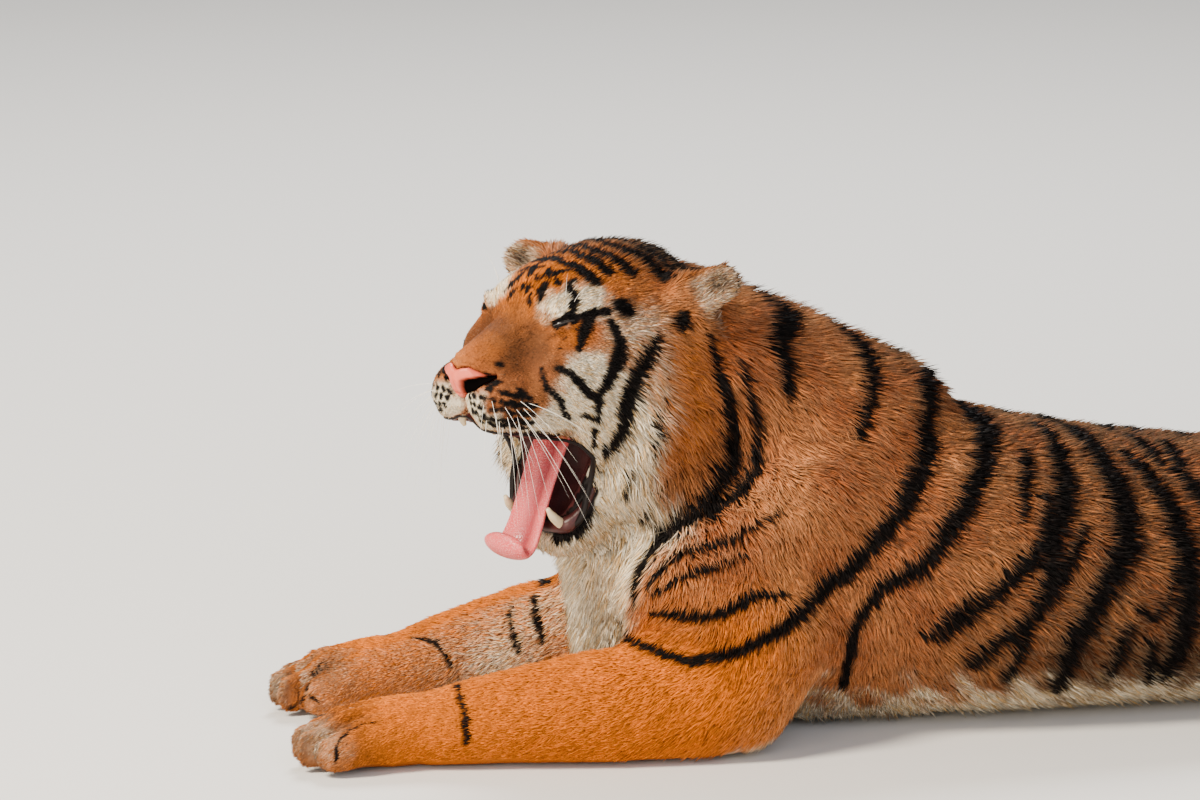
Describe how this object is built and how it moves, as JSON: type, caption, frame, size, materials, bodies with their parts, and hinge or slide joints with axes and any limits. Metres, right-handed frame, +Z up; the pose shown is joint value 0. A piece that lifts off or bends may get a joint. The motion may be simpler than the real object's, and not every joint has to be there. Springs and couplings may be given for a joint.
{
  "type": "siberian tiger",
  "caption": "Life-size siberian tiger lying on its belly, forelegs stretched out, head turned to its left in a yawn with the tongue out and eyes squeezed shut.",
  "frame": {"origin": "the floor point under the middle of the bounding box, tail included", "axes": "+X from the head towards the tail, +Y to the tiger's right, +Z up"},
  "size_m": [2.0341, 0.8672, 0.6325],
  "materials": {
    "winter_coat": "long soft winter fur, orange with black stripes and cream underparts",
    "nose_leather": "damp pebbled pink skin",
    "wet_tongue": "wet pink flesh with fine papillae",
    "tooth_enamel": "smooth yellow-cream enamel and horn",
    "wet_eye": "wet dark slit between shut lids"
  },
  "bodies": {
    "root": {"head": "winter_coat", "lower_jaw": "winter_coat", "ear_left": "winter_coat", "ear_right": "winter_coat", "neck": "winter_coat", "chest": "winter_coat", "barrel": "winter_coat", "hindquarters": "winter_coat", "upper_foreleg_left": "winter_coat", "upper_foreleg_right": "winter_coat", "forearm_left": "winter_coat", "forearm_right": "winter_coat", "forepaw_left": "winter_coat", "forepaw_right": "winter_coat", "thigh_left": "winter_coat", "thigh_right": "winter_coat", "shank_left": "winter_coat", "shank_right": "winter_coat", "hind_paw_left": "winter_coat", "hind_paw_right": "winter_coat", "tail_base": "winter_coat", "tail_middle": "winter_coat", "tail_end": "winter_coat", "tail_tip": "winter_coat", "nose": "nose_leather", "tongue": "wet_tongue", "lower_canine_left": "tooth_enamel", "lower_canine_right": "tooth_enamel", "eye_left": "wet_eye", "eye_right": "wet_eye"}
  },
  "joints": []
}
